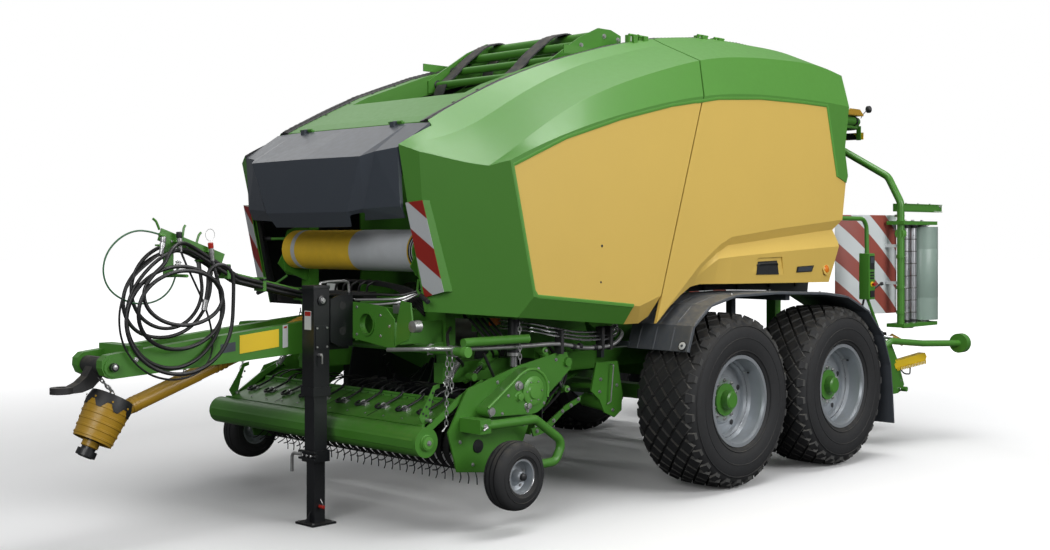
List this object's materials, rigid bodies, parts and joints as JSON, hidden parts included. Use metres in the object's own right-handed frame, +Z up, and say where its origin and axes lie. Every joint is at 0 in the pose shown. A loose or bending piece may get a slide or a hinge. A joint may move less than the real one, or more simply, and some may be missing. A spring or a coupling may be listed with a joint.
{
  "type": "round baler with bale wrapper",
  "caption": "Trailed round baler with a pickup, net binding, lifting tailgate, tandem wheels and a rear film wrapper with turning arms, standing on its jack.",
  "frame": {"origin": "on the ground, in the middle of the machine's length and width", "axes": "+X towards the machine's left side, -Y the way it is pulled, +Z up"},
  "size_m": [2.98, 7.316, 3.147],
  "materials": {
    "aluminium": "ribbed",
    "band_steel": "worn",
    "black_paint": "satin",
    "cast": "cast",
    "fender_plastic": "satin",
    "film": "wound film",
    "green_paint": "gloss",
    "green_panel": "gloss",
    "grey_panel": "satin",
    "guard_plastic": "satin",
    "hose": "matt",
    "net": "wound",
    "silver": "satin",
    "steel": "brushed",
    "tyre": "matt",
    "yellow_panel": "gloss"
  },
  "bodies": {
    "chassis": {"main_frame": "green_paint", "axles": "green_paint", "chamber_walls": "green_paint", "chamber_rollers": "steel", "front_frame": "green_paint", "drawbar": "green_paint", "tow_eye": "cast", "jack_sleeve": "black_paint", "gearbox": "cast", "pto_guard": "guard_plastic", "pto_yoke": "steel", "roof": "green_panel", "belt_carrier": "green_paint", "fenders": "fender_plastic", "gantry": "green_paint", "roof_rails": "green_paint", "hose_holder": "green_paint", "hose_bundle": "hose", "hose_hank": "hose", "hose_leads": "hose", "cable_loop": "hose", "cord_fittings": "steel"},
    "jack": {"jack_leg": "black_paint"},
    "net": {"net_roll": "net"},
    "nose_hood": {"front_hood": "grey_panel"},
    "hood_fl": {"hood_front_left": "green_panel", "insert_front_left": "yellow_panel"},
    "hood_fr": {"hood_front_right": "green_panel", "insert_front_right": "yellow_panel"},
    "hood_rl": {"hood_rear_left": "green_panel", "insert_rear_left": "yellow_panel"},
    "hood_rr": {"hood_rear_right": "green_panel", "insert_rear_right": "yellow_panel"},
    "tailgate": {"tailgate": "green_paint"},
    "pickup": {"pickup_frame": "green_paint", "pickup_bands": "band_steel"},
    "reel": {"pickup_reel": "band_steel"},
    "wind_guard": {"wind_guard": "green_paint"},
    "gauge_left": {"gauge_tyre_left": "tyre", "gauge_rim_left": "silver"},
    "gauge_right": {"gauge_tyre_right": "tyre", "gauge_rim_right": "silver"},
    "rotor": {"feed_rotor": "green_paint"},
    "wheel_fl": {"tyre_front_left": "tyre", "rim_front_left": "silver"},
    "wheel_fr": {"tyre_front_right": "tyre", "rim_front_right": "silver"},
    "wheel_rl": {"tyre_rear_left": "tyre", "rim_rear_left": "silver"},
    "wheel_rr": {"tyre_rear_right": "tyre", "rim_rear_right": "silver"},
    "arms": {"wrap_arms": "green_paint", "arm_guards": "yellow_panel", "pre_stretch": "aluminium"},
    "film_left": {"film_roll_left": "film"},
    "film_right": {"film_roll_right": "film"},
    "table": {"table_frame": "green_paint"},
    "table_roll_front": {"table_roller_front": "steel"},
    "table_roll_rear": {"table_roller_rear": "steel"},
    "lift": {"bale_lift": "green_paint"}
  },
  "joints": [
    {"name": "wheel_front_left_spin", "type": "hinge", "parent": "chassis", "child": "wheel_fl", "pos_m": [1.235, 0.43, 0.585], "axis": [1, 0, 0], "continuous": true},
    {"name": "wheel_front_right_spin", "type": "hinge", "parent": "chassis", "child": "wheel_fr", "pos_m": [-1.235, 0.43, 0.585], "axis": [1, 0, 0], "continuous": true},
    {"name": "wheel_rear_left_spin", "type": "hinge", "parent": "chassis", "child": "wheel_rl", "pos_m": [1.235, 1.7, 0.585], "axis": [1, 0, 0], "continuous": true},
    {"name": "wheel_rear_right_spin", "type": "hinge", "parent": "chassis", "child": "wheel_rr", "pos_m": [-1.235, 1.7, 0.585], "axis": [1, 0, 0], "continuous": true},
    {"name": "jack_slide", "type": "slide", "parent": "chassis", "child": "jack", "axis": [0, 0, 1], "range_m": [0, 0.24]},
    {"name": "net_roll_spin", "type": "hinge", "parent": "chassis", "child": "net", "pos_m": [0, -1.64, 1.592], "axis": [1, 0, 0], "continuous": true},
    {"name": "nose_hood_hinge", "type": "hinge", "parent": "chassis", "child": "nose_hood", "pos_m": [0, -1.7, 2.366], "axis": [-1, 0, 0], "range_deg": [0, 60]},
    {"name": "hood_front_left_hinge", "type": "hinge", "parent": "chassis", "child": "hood_fl", "pos_m": [0.74, -0.8, 3.06], "axis": [0, -1, 0], "range_deg": [0, 60]},
    {"name": "hood_front_right_hinge", "type": "hinge", "parent": "chassis", "child": "hood_fr", "pos_m": [-0.74, -0.8, 3.06], "axis": [0, 1, 0], "range_deg": [0, 60]},
    {"name": "tailgate_hinge", "type": "hinge", "parent": "chassis", "child": "tailgate", "pos_m": [0, 0.387, 3.06], "axis": [1, 0, 0], "range_deg": [0, 45]},
    {"name": "hood_rear_left_hinge", "type": "hinge", "parent": "chassis", "child": "hood_rl", "pos_m": [0.74, 1.1, 3.139], "axis": [0, -1, 0], "range_deg": [0, 60]},
    {"name": "hood_rear_right_hinge", "type": "hinge", "parent": "chassis", "child": "hood_rr", "pos_m": [-0.74, 1.1, 3.139], "axis": [0, 1, 0], "range_deg": [0, 60]},
    {"name": "pickup_lift", "type": "hinge", "parent": "chassis", "child": "pickup", "pos_m": [0, -0.8, 0.9], "axis": [1, 0, 0], "range_deg": [0, 10.5]},
    {"name": "reel_spin", "type": "hinge", "parent": "pickup", "child": "reel", "pos_m": [0, -1.56, 0.462], "axis": [1, 0, 0], "continuous": true},
    {"name": "wind_guard_lift", "type": "hinge", "parent": "pickup", "child": "wind_guard", "pos_m": [0, -1.48, 0.8], "axis": [-1, 0, 0], "range_deg": [0, 20]},
    {"name": "gauge_left_spin", "type": "hinge", "parent": "pickup", "child": "gauge_left", "pos_m": [1.311, -1.55, 0.327], "axis": [1, 0, 0], "continuous": true},
    {"name": "gauge_right_spin", "type": "hinge", "parent": "pickup", "child": "gauge_right", "pos_m": [-1.311, -1.55, 0.327], "axis": [1, 0, 0], "continuous": true},
    {"name": "rotor_spin", "type": "hinge", "parent": "chassis", "child": "rotor", "pos_m": [0, -1.01, 0.64], "axis": [1, 0, 0], "continuous": true},
    {"name": "arm_spin", "type": "hinge", "parent": "chassis", "child": "arms", "pos_m": [0, 3.15, 2.5], "axis": [0, 0, 1], "continuous": true},
    {"name": "film_left_spin", "type": "hinge", "parent": "arms", "child": "film_left", "pos_m": [1.165, 3.42, 1.37], "axis": [0, 0, 1], "continuous": true},
    {"name": "film_right_spin", "type": "hinge", "parent": "arms", "child": "film_right", "pos_m": [-1.165, 2.88, 1.37], "axis": [0, 0, 1], "continuous": true},
    {"name": "table_tilt", "type": "hinge", "parent": "chassis", "child": "table", "pos_m": [0, 3.56, 0.56], "axis": [-1, 0, 0], "range_deg": [0, 30]},
    {"name": "table_roller_front_spin", "type": "hinge", "parent": "table", "child": "table_roll_front", "pos_m": [0, 2.76, 0.7], "axis": [1, 0, 0], "continuous": true},
    {"name": "table_roller_rear_spin", "type": "hinge", "parent": "table", "child": "table_roll_rear", "pos_m": [0, 3.54, 0.7], "axis": [1, 0, 0], "continuous": true},
    {"name": "bale_lift_swing", "type": "hinge", "parent": "chassis", "child": "lift", "pos_m": [0, 2.25, 0.86], "axis": [-1, 0, 0], "range_deg": [0, 60]}
  ]
}
